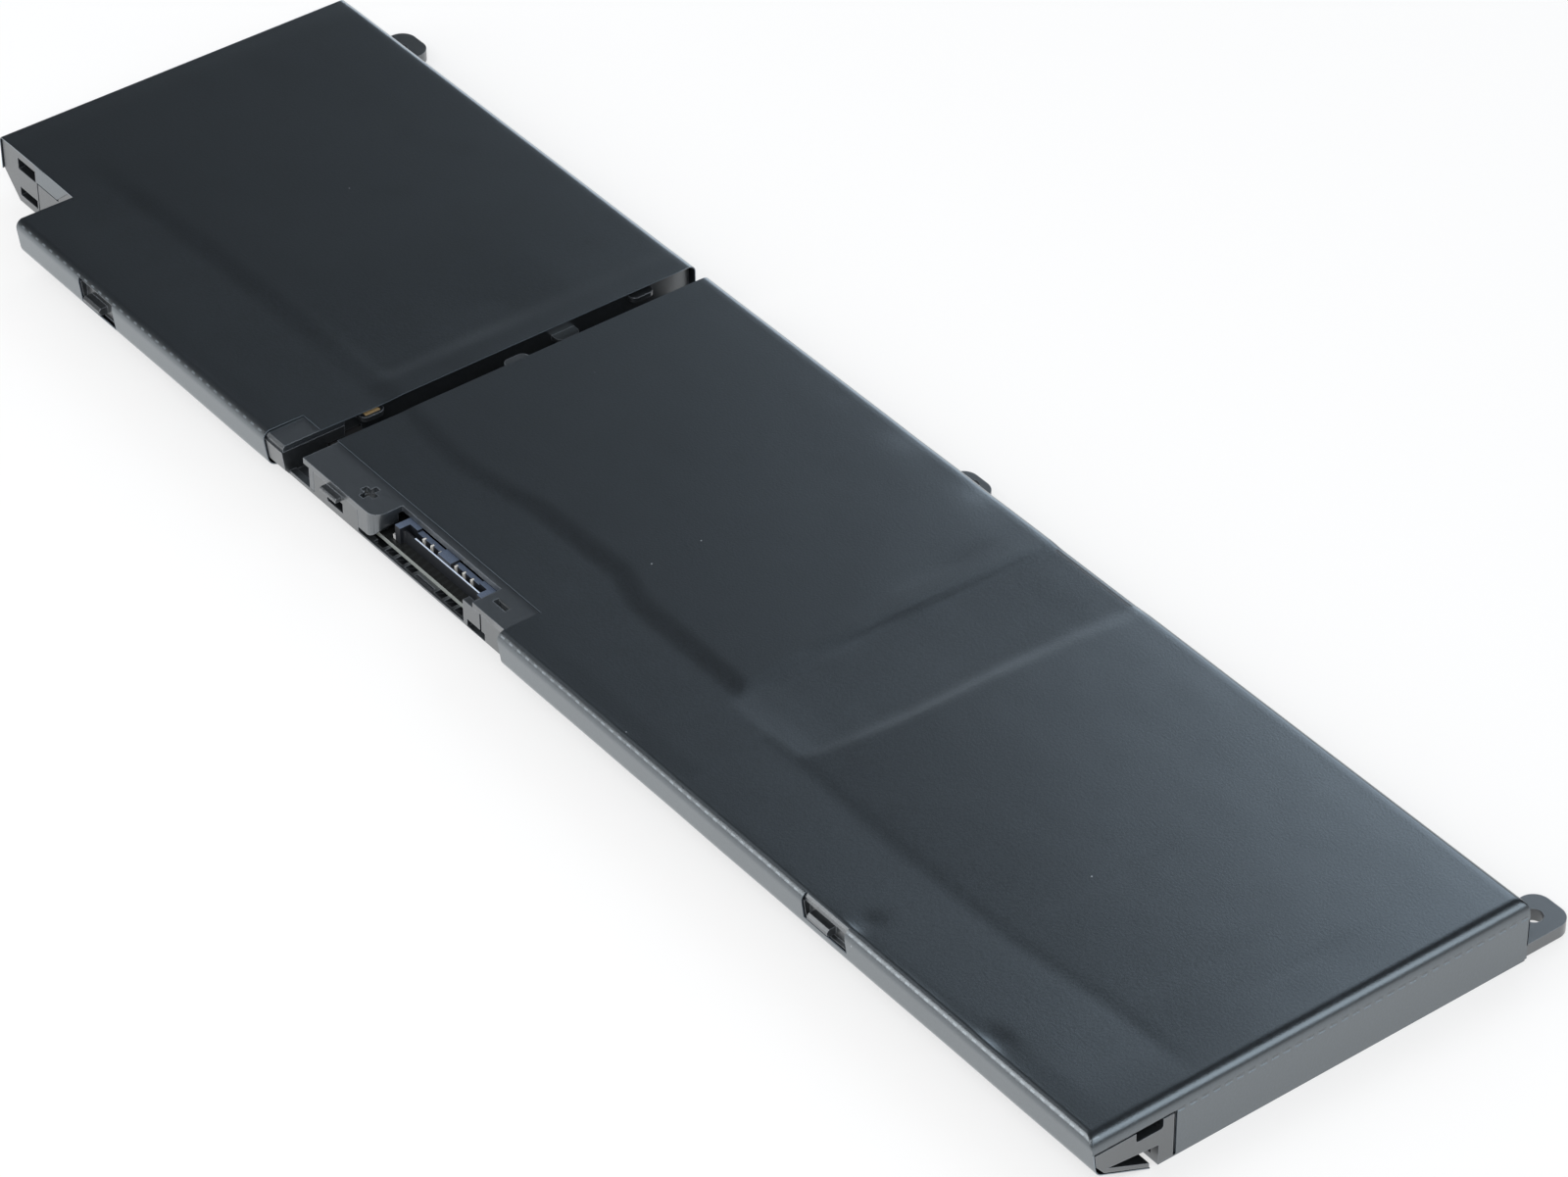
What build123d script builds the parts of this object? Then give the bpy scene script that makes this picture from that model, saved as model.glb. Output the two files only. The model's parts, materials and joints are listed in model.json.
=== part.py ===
from build123d import *
import os

# Flat notebook battery: three pouch cells in a moulded tray, a board with a socket along the
# front, covers over the board channel and a dark skin film wrapped over both halves.
# Millimetres; x runs from the far end, y from the front nose to the lugs, z up from the underside.

# Outside
pack_depth = 76.2
pack_height = 10.4
end_block = 13.5
open_bay = 17.85
far_chamfer = 4.0
near_shoulder = 2.4

# Skin film
film_thick = 0.25
film_slack = 0.1
nose_round = 1.4
nose_lean = 0.8
front_drop = 6.2
slope_end = 10.1
slope_round = 2.0
toe_cut = 1.2
back_round = 1.3
far_round = 1.0
back_flap_lift = 2.6
film_cut = 7.9
film_bay_length = 51.4
valley_depth = 0.5
valley_run = 1.6
gap_dish_depth = 0.8
gap_dish_run = 4.0
dish_corner = 2.0
dish_floor_corner = 0.3
dish_margin = 0.2

# Tray
wall = 1.2
floor = 0.7
front_inner = 2.9
rail_front = 15.6
cross_rib_drop = 1.8
notch_length = 21.7
notch_depth = 10.9
flap_start = 10.5
flap_low_length = 6.1
flap_top_length = 9.8
flap_height = 3.3
seam_width = 0.3
seam_depth = 0.4
slot_width = 3.6
slot_left_inset = 1.3
slot_right_inset = 0.9
slot_lip = 5.3
deck_drop = 0.3
deck_back = 12.5
block_length = 4.7
block_depth = 7.4
block_wall_end = 11.7
block_inset = 0.3

# Rounded tabs that stand out into the slot
slot_tab_length = 4.2
slot_tab_thick = 0.8
slot_tab_drop = 0.6
slot_tab_reach = 2.0
slot_tab_corner = 1.1
left_tab_places = (14.4, 63.9)
low_tab_place = 50.0
low_tab_drop = 2.25
right_tab_place = 38.4
right_tab_reach = 2.4

# Screw lugs on the back
lug_width = 7.7
lug_reach = 9.0
lug_thick = 2.05
lug_corner = 2.6
lug_hole = 2.8
lug_hole_reach = 5.0
first_lug = 7.75
middle_lug_lead = 57.3
middle_lug_reach = 7.3

# Front hooks, each in a pocket of the wall behind a window in the film
hook_length = 4.4
hook_thick = 1.25
hook_corner = 0.4
pocket_length = 9.0
pocket_back = 1.6
pocket_lead = 1.3
pocket_corner = 0.5
window_margin = 0.2
far_hook_start = 41.2
far_hook_drop = 3.35
far_pocket_drop = 1.0
far_pocket_height = 4.4
near_hook_inset = 59.5
near_hook_drop = 2.45
near_pocket_drop = 0.3
near_pocket_height = 3.9

# Connector bay in the front wall, placed from the slot
bay_lead = 30.9
bay_wall = 1.7
recess_width = 24.7
recess_back = 6.7
lip_thick = 0.5
lip_height = 5.0
rib_thick = 0.6
rib_pitch = 2.5
rib_gap = 4.95
rib_shift = 1.0
ribs_each_side = 4
rib_back = 4.6
long_rib_back = 3.35
panel_lead = 2.7
panel_length = 11.4
right_panel_lead = 9.9
panel_tab_lead = 3.4
panel_tab_length = 4.1
panel_tab_reach = 1.2
panel_tab_drop = 1.5
panel_tab_thick = 0.65
panel_tab_edge = 0.2
panel_hole_height = 1.8
panel_hole_drop = 2.75
snap_window_lead = 0.9
snap_window_length = 4.4
snap_window_low = 4.7
snap_window_height = 1.4
snap_slit = 0.4
snap_slit_lead = 3.2

# Far end block and bare near corner
end_slot_start = 4.8
end_slot_length = 5.1
upper_slot_drop = 1.8
upper_slot_height = 2.1
lower_slot_lift = 1.25
lower_slot_height = 1.6
corner_bare = 14.0
corner_groove = 0.5
corner_gap = 0.35
corner_slot_start = 7.6
corner_slot_length = 4.6
corner_slot_drop = 2.45
corner_slot_height = 1.85
corner_slot_round = 0.5
corner_notch_end = 11.5
corner_notch_height = 3.5
corner_notch_reach = 5.0
floor_gap_start = 10.0

# Channel covers
cover_thick = 1.0
cover_lap = 0.6
cover_front = 0.8
cover_edge = 0.4
cover_clear = 0.1
leg_width = 1.1
leg_thick = 0.9
column_depth = 4.2
column_drop = 3.2
column_round = 2.0
column_foot_round = 2.4
snap_leg_thick = 0.8
snap_leg_clear = 0.3
snap_barb = 0.8

# Board, socket and the larger packages
board_lead = 3.9
board_length = 93.0
board_front = 3.4
board_back_gap = 0.4
board_thick = 0.8
board_headroom = 3.25
board_notch_clear = 0.5
shelf_depth = 1.2
housing_length = 21.9
housing_front = 4.3
housing_depth = 2.7
housing_height = 2.75
housing_end_wall = 1.3
housing_back_wall = 0.9
housing_inner_round = 0.5
contact_slot = 0.75
front_plate = 0.25
front_plate_drop = 0.6
rim_step = 0.4
rim_end_length = 3.2
rim_key_length = 3.2
contact_pitch = 2.0
contact_places = 7
blank_place = 3
contact_thick = 0.4
contact_width = 0.55
contact_groove = 0.3
contact_drop = 0.45
hold_down_size = 0.6
hold_down_height = 0.7
chip_size = 6.0
chip_height = 1.0
mosfet_length = 6.0
mosfet_width = 5.0
fuse_length = 4.0
fuse_width = 3.0
fuse_height = 1.2
resistor_length = 6.4
resistor_width = 3.2
resistor_height = 0.7
parts_lead = 17.5
parts_gap = 1.5
parts_front = 5.4

# Cells, tabs and strips
cell_length = 78.0
cell_clear = 0.75
cell_corner = 2.5
cell_edge = 0.9
terrace_depth = 3.2
terrace_thick = 0.4
side_fold_thick = 0.4
side_fold_height = 6.0
side_fold_inset = 4.0
pad_film = 0.15
pad_inset = 6.0
tab_inset = 14.0
tab_width = 8.0
tab_thick = 0.2
tab_clear = 0.5
strip_width = 2.6
strip_thick = 0.3
strip_clear = 0.4
rear_strip_front = 12.4
front_strip_front = 9.0
strip_lap = 5.0
weld_pad_thick = 0.3
weld_pad_length = 4.0
sensor_length = 3.0
sensor_width = 1.6
sensor_height = 0.9
tape_thick = 0.1
edge_tape_width = 2.6
slot_tape_lap = 2.0

# How far a cutter runs past the face it opens
over = 1.0

# Levels
skin = film_thick + film_slack
base = film_thick
top = pack_height - skin
floor_top = base + floor
cover_seat = top - cover_thick
board_top = cover_seat - board_headroom
board_low = board_top - board_thick
cell_low = floor_top + pad_film
tab_low = board_top + weld_pad_thick
tab_high = tab_low + tab_thick
strip_high = tab_high + strip_thick

# Places along the pack
bay_length = cell_length + 2 * cell_clear
left_wall_face = end_block + bay_length + wall
slot_start = left_wall_face + slot_left_inset
slot_end = slot_start + slot_width
block_face = slot_start - block_inset
right_wall_face = slot_end + slot_right_inset
middle_bay = right_wall_face + wall
gap_start = middle_bay + bay_length + wall
gap_end = gap_start + open_bay
right_bay = gap_end + wall
near_inside = right_bay + bay_length + wall
pack_length = near_inside + skin
far_inside = skin
bay_starts = {"left": end_block, "middle": middle_bay, "right": right_bay}
bay_center = slot_end + bay_lead
bay_end = slot_end + film_bay_length
recess_start = bay_center - recess_width / 2
recess_end = bay_center + recess_width / 2
panel_start = slot_end + panel_lead
panel_end = panel_start + panel_length
right_panel_start = bay_center + right_panel_lead
snap_start = right_panel_start + snap_window_lead
snap_end = snap_start + snap_window_length
board_start = slot_end + board_lead
board_end = board_start + board_length
left_cover_start = notch_length + skin
right_cover_end = pack_length - near_shoulder
lugs = (
    (first_lug, lug_reach),
    (slot_end + middle_lug_lead, middle_lug_reach),
    (near_inside - lug_width / 2, lug_reach),
)
near_hook_start = pack_length - near_hook_inset
hooks = (
    (far_hook_start, far_hook_drop, far_pocket_drop, far_pocket_height),
    (near_hook_start, near_hook_drop, near_pocket_drop, near_pocket_height),
)

# Places across the pack
total_depth = pack_depth + lug_reach
back_inside = pack_depth - skin
bay_back = back_inside - wall
rail_back = rail_front + wall
cover_back = rail_front + cover_lap
terrace_front = rail_back + cell_clear
cell_front = terrace_front + terrace_depth
cell_back = bay_back - cell_clear
housing_back = housing_front + housing_depth
slot_back = housing_back - housing_back_wall
plate_back = slot_back - contact_slot

# Front lean and sloping underside of the film, and the tray a skin's thickness inside them
nose_low = pack_height - front_drop
lean = nose_lean / front_drop
slope = nose_low / (slope_end - nose_lean)
lean_length = (1 + lean**2) ** 0.5
slope_length = (1 + slope**2) ** 0.5
heel = slope_end - (base - skin * slope_length) / slope


def block(x0, x1, y0, y1, z0, z1):
    return Pos(x0, y0, z0) * Box(x1 - x0, y1 - y0, z1 - z0, align=(Align.MIN,) * 3)


def along_x(points, x0, x1):
    section = make_face(Polyline(*points, close=True))
    return extrude(Plane.YZ.offset(x0) * section, x1 - x0)


def along_y(points, y0, y1):
    section = make_face(Polyline(*points, close=True))
    return extrude(Plane.XZ.offset(-y1) * section, y1 - y0)


def tray_slope(y):
    return base + (heel - y) * slope


def channel_floor(y):
    return tray_slope(y) + floor * slope_length


def wall_face(z):
    return skin * lean_length + (pack_height - z) * lean


def tab_places(name):
    start = bay_starts[name] + cell_clear
    return start + tab_inset, start + cell_length - tab_inset


def tray_section():
    low = wall_face(base + heel * slope) / (1 - lean * slope)
    above = tray_slope(low) + toe_cut
    front = [(wall_face(top), top), (wall_face(above), above), (low + toe_cut, tray_slope(low + toe_cut))]
    edge = back_round / 2
    back = [(back_inside, base), (back_inside, top - edge), (back_inside - edge, top)]
    return front + [(heel, base)] + back


def tray_body():
    body = along_x(tray_section(), far_inside, near_inside)
    edge = far_round / 2
    side = [
        (far_inside + edge, top),
        (far_inside, top - edge),
        (far_inside, far_chamfer + base),
        (far_inside + far_chamfer, base),
        (near_inside, base),
        (near_inside, pack_height - near_shoulder - film_slack),
        (near_inside - near_shoulder + skin, top),
    ]
    body &= along_y(side, -over, total_depth)
    corner_top = pack_height - near_shoulder - corner_gap
    corner = along_x(tray_section(), near_inside, pack_length)
    body += corner & block(near_inside, pack_length, 0, corner_bare, 0, corner_top)
    return body - block(-over, left_cover_start - film_slack, -over, notch_depth, 0, pack_height)


def channel(x0, x1, y1):
    points = [
        (front_inner, pack_height),
        (front_inner, channel_floor(front_inner)),
        (heel, floor_top),
        (y1, floor_top),
        (y1, pack_height),
    ]
    return along_x(points, x0, x1)


def hollows():
    cuts = [
        channel(left_cover_start + wall, block_face - wall, rail_front),
        channel(right_wall_face + wall, near_inside - wall, rail_front),
        block(gap_start, gap_end, rail_back, bay_back, floor_top, pack_height),
        block(end_block, left_cover_start, notch_depth + wall, rail_front, floor_top, pack_height),
    ]
    for start in bay_starts.values():
        cuts.append(block(start, start + bay_length, rail_back, bay_back, floor_top, pack_height))
    rib_top = top - cross_rib_drop
    cuts.append(block(middle_bay, near_inside - wall, rail_back, bay_back, rib_top, pack_height))
    inside = [
        (far_inside + wall, top - wall),
        (far_inside + wall, far_chamfer + wall),
        (far_inside + far_chamfer + wall / 2, floor_top),
        (end_block - wall, floor_top),
        (end_block - wall, top - wall),
    ]
    cuts.append(along_y(inside, notch_depth + wall, bay_back))
    return cuts


def end_slots():
    upper = pack_height - upper_slot_drop - upper_slot_height
    lower = base + lower_slot_lift
    y1 = notch_depth + wall + over
    x1 = end_slot_start + end_slot_length
    return [
        block(end_slot_start, x1, notch_depth - over, y1, upper, upper + upper_slot_height),
        block(end_slot_start, x1, notch_depth - over, y1, lower, lower + lower_slot_height),
    ]


def module_slot():
    front = channel(block_face, right_wall_face, block_wall_end)
    back = block(left_wall_face, right_wall_face, block_wall_end, total_depth, floor_top, pack_height)
    return [front, back]


def slot_deck():
    x0 = block_face - wall / 2
    x1 = right_wall_face + wall / 2
    z1 = slot_lip - deck_drop
    return block(x0, x1, front_inner - wall / 2, deck_back, z1 - floor, z1)


def bay_cuts():
    lip_in = bay_wall + lip_thick
    shelf = [
        (lip_in, lip_height),
        (front_inner, lip_height),
        (front_inner, channel_floor(front_inner)),
        (lip_in, channel_floor(lip_in)),
    ]
    return [
        block(block_face, bay_end, -over, bay_wall, 0, pack_height),
        block(block_face, panel_start, -over, front_inner, slot_lip, pack_height),
        block(panel_end, right_panel_start, -over, front_inner, lip_height, pack_height),
        along_x(shelf, rib_places()[0] - rib_pitch, right_panel_start),
    ]


def rib_places():
    middle = bay_center - rib_shift
    offsets = [rib_gap / 2 + k * rib_pitch for k in range(ribs_each_side)]
    return [middle - d for d in reversed(offsets)] + [middle + d for d in offsets]


def shelf_rib(x0, x1, y0, y1):
    foot = [(y1, tray_slope(y1) + floor / 2), (y0, tray_slope(y0) + floor / 2)]
    return along_x([(y0, lip_height), (y1, lip_height)] + foot, x0, x1)


def shelf_ribs():
    places = rib_places()
    half = rib_thick / 2
    ribs = [shelf_rib(x - half, x + half, bay_wall + lip_thick / 2, rib_back) for x in places]
    left, right = places[ribs_each_side - 1 : ribs_each_side + 1]
    return ribs + [shelf_rib(left, right, long_rib_back - rib_thick, long_rib_back)]


def strip_passages():
    cuts = []
    reach = tab_width / 2 + tab_clear
    y0 = rail_front - over / 2
    y1 = rail_back + over / 2
    for name in bay_starts:
        for x in tab_places(name):
            cuts.append(block(x - reach, x + reach, y0, y1, tab_low - strip_clear, pack_height))
    x0 = block_face - wall - over
    x1 = right_wall_face + wall + over
    z0 = tab_high - strip_clear
    z1 = strip_high + tape_thick + strip_clear
    cuts.append(block(x0, x1, front_strip_front - strip_clear, rail_front - strip_clear, z0, z1))
    return cuts


def panel_tab():
    x0 = panel_start + panel_tab_lead
    z1 = pack_height - panel_tab_drop
    y0 = bay_wall - panel_tab_reach
    tab = block(x0, x0 + panel_tab_length, y0, front_inner, z1 - panel_tab_thick, z1)
    edge = tab.edges().filter_by(Axis.X).group_by(Axis.Y)[0].sort_by(Axis.Z)[-1]
    return chamfer(edge, panel_tab_edge)


def panel_cuts():
    x0 = panel_start + panel_tab_lead
    z1 = pack_height - panel_hole_drop
    back = front_inner + over / 2
    slit = snap_start + snap_slit_lead
    window_top = snap_window_low + snap_window_height
    return [
        block(x0, x0 + panel_tab_length, -over, back, z1 - panel_hole_height, z1),
        block(snap_start, snap_end, -over, back, snap_window_low, window_top),
        block(slit, slit + snap_slit, -over, back, window_top - over / 2, pack_height),
    ]


def hook_pocket(hook, margin, depth):
    start, _, drop, height = hook
    x0 = start - pocket_lead - margin
    x1 = start - pocket_lead + pocket_length + margin
    z1 = pack_height - drop + margin
    pocket = block(x0, x1, -over, depth, z1 - height - 2 * margin, z1)
    return fillet(pocket.edges().filter_by(Axis.Y), pocket_corner)


def hook_peg(hook):
    start, drop, _, _ = hook
    z1 = pack_height - drop
    peg = block(start, start + hook_length, 0, front_inner, z1 - hook_thick, z1)
    return chamfer(peg.edges().filter_by(Axis.X).group_by(Axis.Y)[0], hook_corner)


def lug(place, reach):
    half = lug_width / 2
    plate = block(place - half, place + half, bay_back, pack_depth + reach, base, base + lug_thick)
    plate = fillet(plate.edges().filter_by(Axis.Z).group_by(Axis.Y)[-1], lug_corner)
    hole = Cylinder(lug_hole / 2, lug_thick + 2 * over)
    return plate - Pos(place, pack_depth + lug_hole_reach, base + lug_thick / 2) * hole


def slot_tab(face, place, side, drop, reach):
    z1 = top - drop
    x0, x1 = sorted((face - side * wall / 2, face + side * reach))
    tab = block(x0, x1, place, place + slot_tab_length, z1 - slot_tab_thick, z1)
    ends = tab.edges().filter_by(Axis.Z).group_by(Axis.X)
    return fillet(ends[-1] if side > 0 else ends[0], slot_tab_corner)


def slot_tabs():
    tabs = [slot_tab(left_wall_face, place, 1, slot_tab_drop, slot_tab_reach) for place in left_tab_places]
    tabs.append(slot_tab(left_wall_face, low_tab_place, 1, low_tab_drop, slot_tab_reach))
    return tabs + [slot_tab(right_wall_face, right_tab_place, -1, 0, right_tab_reach)]


def notch_seams():
    x0 = flap_start - seam_width
    y1 = notch_depth + seam_depth
    z1 = pack_height - flap_height
    return [
        block(x0, flap_start, notch_depth - over, y1, floor_top, top),
        block(x0, flap_start + flap_low_length, notch_depth - over, y1, z1 - 2 * seam_width, z1),
    ]


def corner_cuts():
    z1 = pack_height - corner_slot_drop
    x0 = near_inside - wall - over
    x1 = pack_length + over
    y0 = corner_slot_start
    opening = block(x0, x1, y0, y0 + corner_slot_length, z1 - corner_slot_height, z1)
    wedge = [
        (front_inner, channel_floor(front_inner)),
        (corner_notch_end, corner_notch_height),
        (corner_notch_end, floor_top),
        (heel, floor_top),
    ]
    gap_x = pack_length - corner_notch_reach
    return [
        fillet(opening.edges().filter_by(Axis.X), corner_slot_round),
        along_x(wedge, x0, x1),
        block(gap_x, x1, floor_gap_start, corner_notch_end, -over, corner_notch_height),
        block(near_inside - wall / 2, x1, corner_bare, corner_bare + corner_groove, base, pack_height),
    ]


def main_frame():
    tray = tray_body()
    tray -= hollows() + end_slots() + notch_seams() + module_slot()
    tray += slot_deck()
    tray -= bay_cuts()
    tray += shelf_ribs()
    tray -= block(left_cover_start - film_slack, pack_length, -over, rail_back, cover_seat, pack_height)
    tray += block(board_start, board_end, rail_front - shelf_depth, rail_front, base, board_low)
    tray -= strip_passages()
    tray += panel_tab()
    tray -= panel_cuts() + [hook_pocket(hook, 0, pocket_back) for hook in hooks]
    tray += [hook_peg(hook) for hook in hooks] + [lug(*place) for place in lugs] + slot_tabs()
    return tray - corner_cuts()


def cover_plate(x0, x1):
    plate = block(x0, x1, cover_front, cover_back, cover_seat, top)
    return chamfer(plate.edges().filter_by(Axis.X).group_by(Axis.Z)[-1].sort_by(Axis.Y)[0], cover_edge)


def left_channel_cover():
    step = left_wall_face - wall - cover_clear
    return cover_plate(left_cover_start, block_face) - block(
        step, block_face, block_wall_end, cover_back, cover_seat, top
    )


def cover_column():
    x0 = panel_end + cover_clear
    foot = cover_seat - column_drop
    column = block(x0, recess_start, bay_wall, bay_wall + column_depth, foot, cover_seat)
    foot_edge = column.edges().filter_by(Axis.Y).group_by(Axis.Z)[0].sort_by(Axis.X)[-1]
    column = fillet(foot_edge, column_foot_round)
    face = block(x0, recess_start, bay_wall, bay_wall + column_depth, foot, top)
    corner = face.edges().filter_by(Axis.Z).group_by(Axis.Y)[0].sort_by(Axis.X)[-1]
    rounded = fillet(corner, column_round)
    return column & rounded, face - rounded


def snap_leg():
    x0 = snap_start + snap_leg_clear
    x1 = snap_end - snap_leg_clear
    y0 = front_inner + cover_clear
    z0 = snap_window_low + snap_leg_clear
    z1 = snap_window_low + snap_window_height - snap_leg_clear
    leg = block(x0, x1, y0, y0 + snap_leg_thick, z0, cover_seat)
    return leg + along_x([(y0, z0), (y0 - snap_barb, z1), (y0, z1)], x0, x1)


def connector_cover():
    plate = cover_plate(slot_end + cover_clear, right_cover_end)
    plate -= block(slot_start, bay_end, -over, bay_wall, 0, pack_height)
    plate -= block(recess_start, recess_end, -over, recess_back, 0, pack_height)
    column, trimmed = cover_column()
    plate -= trimmed
    plate += column
    x1 = panel_start - cover_clear
    z0 = slot_lip + cover_clear
    leg = block(x1 - leg_width, x1, bay_wall, bay_wall + leg_thick, z0, cover_seat)
    return plate + leg + snap_leg()


def circuit_board():
    board = block(board_start, board_end, board_front, rail_front - board_back_gap, board_low, board_top)
    x0 = snap_start + snap_leg_clear - board_notch_clear
    x1 = snap_end - snap_leg_clear + board_notch_clear
    y1 = front_inner + cover_clear + snap_leg_thick + board_notch_clear
    return board - block(x0, x1, 0, y1, 0, pack_height)


def contact_xs():
    first = bay_center - contact_pitch * (contact_places - 1) / 2
    return [first + k * contact_pitch for k in range(contact_places) if k != blank_place]


def contact_block(x, y0, y1, z1):
    half = contact_thick / 2
    return block(x - half, x + half, y0, y1, board_top + board_thick, z1)


def connector_housing():
    x0 = bay_center - housing_length / 2
    x1 = bay_center + housing_length / 2
    left = x0 + housing_end_wall
    right = x1 - housing_end_wall
    rim = board_top + housing_height
    shell = block(x0, x1, housing_front, housing_back, board_top, rim)
    mouth = block(left, right, 0, plate_back - front_plate, 0, pack_height)
    shell -= fillet(mouth.edges().filter_by(Axis.Z).group_by(Axis.Y)[-1], housing_inner_round)
    shell -= block(left, right, plate_back, slot_back, board_top + board_thick, pack_height)
    shell -= block(left, right, plate_back - 2 * front_plate, slot_back, rim - front_plate_drop, pack_height)
    key = rim_key_length / 2
    shell += block(bay_center - key, bay_center + key, plate_back, slot_back, board_top, rim)
    for start, stop in ((x0 + rim_end_length, bay_center - key), (bay_center + key, x1 - rim_end_length)):
        shell -= block(start, stop, slot_back, housing_back + over, rim - rim_step, pack_height)
    y1 = slot_back + contact_groove
    return shell - [contact_block(x, slot_back, y1, pack_height) for x in contact_xs()]


def connector_contacts():
    y1 = slot_back + contact_groove
    z1 = board_top + housing_height - contact_drop
    return [contact_block(x, y1 - contact_width, y1, z1) for x in contact_xs()]


def hold_downs():
    reach = (housing_length + hold_down_size) / 2
    half = hold_down_size / 2
    pins = []
    for x in (bay_center - reach, bay_center + reach):
        y1 = housing_front + hold_down_size
        pins.append(block(x - half, x + half, housing_front, y1, board_top, board_top + hold_down_height))
    return pins


def board_packages():
    sizes = {
        "gauge_chip": (chip_size, chip_size, chip_height, 1),
        "power_mosfets": (mosfet_length, mosfet_width, chip_height, 2),
        "chemical_fuse": (fuse_length, fuse_width, fuse_height, 1),
        "sense_resistor": (resistor_length, resistor_width, resistor_height, 1),
    }
    x = bay_center + parts_lead
    found = {}
    for name, (length, width, rise, count) in sizes.items():
        found[name] = []
        for _ in range(count):
            part = block(x, x + length, parts_front, parts_front + width, board_top, board_top + rise)
            found[name].append(part)
            x += length + parts_gap
    return found


def cell(name):
    x0 = bay_starts[name] + cell_clear
    x1 = x0 + cell_length
    fold = side_fold_thick
    pouch = block(x0 + fold, x1 - fold, cell_front, cell_back, cell_low, top)
    pouch = fillet(pouch.edges().filter_by(Axis.Z), cell_corner)
    pouch = chamfer(pouch.faces().sort_by(Axis.Z)[-1].edges(), cell_edge)
    inset = cell_corner + fold
    z0 = tab_low + (tab_thick - terrace_thick) / 2
    pouch += block(x0 + inset, x1 - inset, terrace_front, cell_front + over, z0, z0 + terrace_thick)
    z0 = cell_low + cell_edge
    for edge in (x0, x1 - fold):
        y0 = cell_front + side_fold_inset
        pouch += block(edge, edge + fold, y0, cell_back - side_fold_inset, z0, z0 + side_fold_height)
    return pouch


def cell_tab(name, side):
    x = tab_places(name)[side]
    outer = (name, side) in (("left", 0), ("right", 1))
    y0 = front_strip_front if outer else rear_strip_front
    return block(x - tab_width / 2, x + tab_width / 2, y0, terrace_front, tab_low, tab_high)


def strip(x0, x1, y0):
    return block(x0, x1, y0, y0 + strip_width, tab_high, strip_high)


def link(first, second):
    half = tab_width / 2
    return strip(tab_places(first)[1] - half, tab_places(second)[0] + half, rear_strip_front)


def positive_strip():
    return strip(tab_places("left")[0] - tab_width / 2, board_start + strip_lap, front_strip_front)


def negative_strip():
    return strip(board_end - strip_lap, tab_places("right")[1] + tab_width / 2, front_strip_front)


def weld_pads():
    half = weld_pad_length / 2
    rear = rear_strip_front + strip_width
    front = front_strip_front + strip_width
    pads = []
    for x in tab_places("middle"):
        pads.append(block(x - half, x + half, rear_strip_front, rear, board_top, tab_low))
    for x in (board_start + strip_lap - half, board_end - strip_lap + half):
        pads.append(block(x - half, x + half, front_strip_front, front, board_top, tab_high))
    return pads


def temperature_sensor():
    x = bay_starts["middle"] + bay_length / 2
    y0 = terrace_front + tape_thick
    z0 = tab_low + (tab_thick + terrace_thick) / 2
    half = sensor_length / 2
    return block(x - half, x + half, y0, y0 + sensor_width, z0, z0 + sensor_height)


def adhesive_pad(name):
    x0 = bay_starts[name] + cell_clear + pad_inset
    x1 = x0 + cell_length - 2 * pad_inset
    return block(x0, x1, cell_front + pad_inset, cell_back - pad_inset, floor_top, cell_low)


def slot_tape():
    x0 = block_face - wall - slot_tape_lap
    x1 = right_wall_face + wall + slot_tape_lap
    y1 = rear_strip_front + strip_width
    return block(x0, x1, front_strip_front, y1, strip_high, strip_high + tape_thick)


def edge_tape():
    z0 = top - slot_tab_drop
    x1 = left_wall_face + slot_tab_reach - slot_tab_corner / 2
    y0 = left_tab_places[0] + (slot_tab_length - edge_tape_width) / 2
    return block(left_wall_face, x1, y0, y0 + edge_tape_width, z0, z0 + tape_thick)


def film_section(inset):
    back = [(pack_depth, 0), (pack_depth, pack_height)]
    corners = back + [(0, pack_height), (nose_lean, nose_low), (slope_end, 0)]
    face = make_face(Polyline(*corners, close=True))
    for corner, radius in ((1, back_round), (2, nose_round), (3, slope_round)):
        y, z = corners[corner]
        face = fillet(face.vertices().sort_by_distance((y, z, 0))[0], radius)
    return offset(face, -inset, kind=Kind.INTERSECTION) if inset else face


def film_body(x0, x1, inset):
    body = extrude(Plane.YZ.offset(x0 - over) * film_section(inset), x1 - x0 + 2 * over)
    start = inset if x0 == 0 else x0 - over
    stop = pack_length - inset if x1 == pack_length else x1 + over
    side = block(start, stop, -over, total_depth, -over, pack_height - inset)
    edges = side.edges().filter_by(Axis.Y).group_by(Axis.Z)[-1].sort_by(Axis.X)
    if x0 == 0:
        return body & fillet(edges[0], far_round - inset)
    return body & fillet(edges[-1], near_shoulder - inset)


def dish(x0, x1, y0, y1, depth, run, drop):
    rim = RectangleRounded(x1 - x0, y1 - y0, dish_corner)
    bottom = RectangleRounded(x1 - x0 - 2 * run, y1 - y0 - 2 * run, dish_floor_corner)
    place = Pos((x0 + x1) / 2, (y0 + y1) / 2, pack_height - drop)
    return place * loft([rim, Pos(0, 0, -depth) * bottom], ruled=True)


def left_dishes(drop):
    y0 = cover_back + dish_margin
    y1 = cell_front - dish_margin
    return dish(left_cover_start + wall, left_wall_face - wall, y0, y1, valley_depth, valley_run, drop)


def right_dishes(drop):
    y0 = cover_back + dish_margin
    y1 = cell_front - dish_margin
    valley = dish(middle_bay, pack_length - 2 * near_shoulder, y0, y1, valley_depth, valley_run, drop)
    x0 = gap_start - wall - cell_clear + dish_margin
    x1 = gap_end + wall + cell_clear - dish_margin
    return valley + dish(x0, x1, y0, bay_back - dish_margin, gap_dish_depth, gap_dish_run, drop)


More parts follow.
